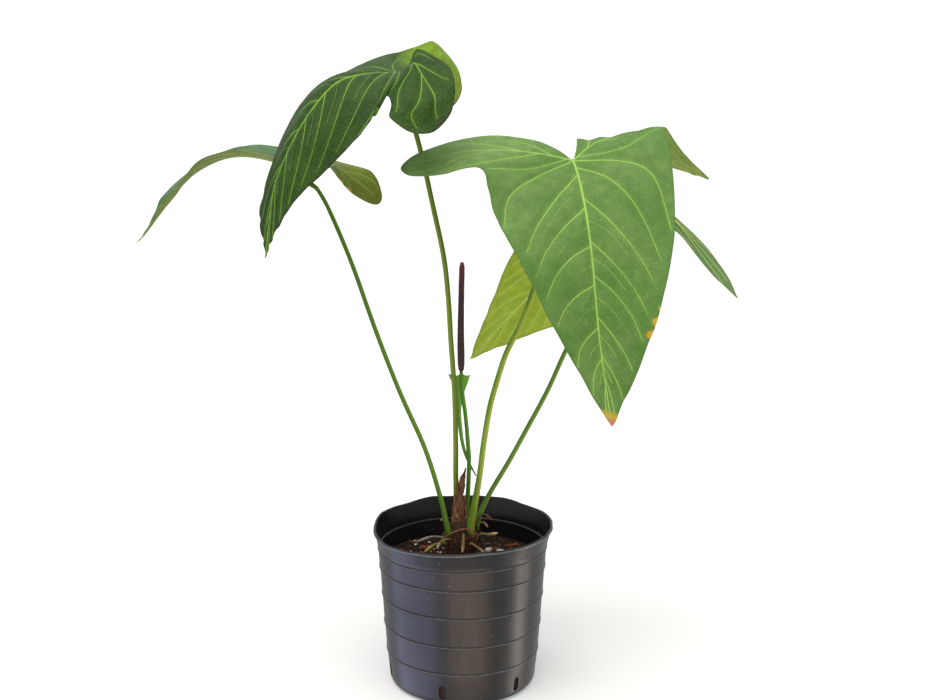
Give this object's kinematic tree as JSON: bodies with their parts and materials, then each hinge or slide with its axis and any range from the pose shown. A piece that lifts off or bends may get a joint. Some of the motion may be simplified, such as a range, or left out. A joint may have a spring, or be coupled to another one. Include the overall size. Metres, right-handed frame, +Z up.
{
  "type": "potted anthurium",
  "caption": "Potted aroid with large arrow-shaped leaves on slender stalks, a thin dark spadix, aerial roots and bark mix in a stepped round nursery pot.",
  "frame": {"origin": "centre of the pot's flat underside", "axes": "+Z up along the pot's axis, -Y towards the front, where the largest blade hangs facing outwards, +X to the right"},
  "size_m": [0.5634, 0.2509, 0.5754],
  "materials": {
    "pot_plastic": "satin",
    "potting_mix": "rough",
    "crown": "rough fibrous",
    "blade_upper": "semi-gloss leaf",
    "blade_front": "semi-gloss leaf",
    "blade_rear_right": "satin leaf underside",
    "blade_left": "satin leaf underside",
    "petiole_upper": "satin",
    "petiole_front": "satin",
    "petiole_rear_right": "satin",
    "petiole_left": "satin",
    "peduncle": "satin",
    "spadix": "matt",
    "spathe": "satin",
    "dry_sheath": "papery",
    "dry_flap": "papery",
    "dry_fibre": "papery",
    "root": "matt",
    "bark": "rough",
    "perlite": "rough"
  },
  "bodies": {
    "root": {"pot": "pot_plastic", "potting_mix": "potting_mix", "crown": "crown", "blade_upper": "blade_upper", "petiole_upper": "petiole_upper", "blade_front": "blade_front", "petiole_front": "petiole_front", "blade_rear_right": "blade_rear_right", "petiole_rear_right": "petiole_rear_right", "blade_left": "blade_left", "petiole_left": "petiole_left", "peduncle": "peduncle", "spadix": "spadix", "spathe": "spathe", "dry_sheath": "dry_sheath", "dry_flap": "dry_flap", "dry_fibre": "dry_fibre", "root_1": "root", "root_2": "root", "root_3": "root", "root_4": "root", "root_5": "root", "root_6": "root", "root_7": "root", "root_8": "root", "root_9": "root", "root_10": "root", "bark_chip_1": "bark", "bark_chip_2": "bark", "bark_chip_3": "bark", "bark_chip_4": "bark", "bark_chip_5": "bark", "bark_chip_6": "bark", "perlite_1": "perlite", "perlite_2": "perlite", "perlite_3": "perlite", "perlite_4": "perlite", "perlite_5": "perlite", "perlite_6": "perlite"}
  },
  "joints": []
}
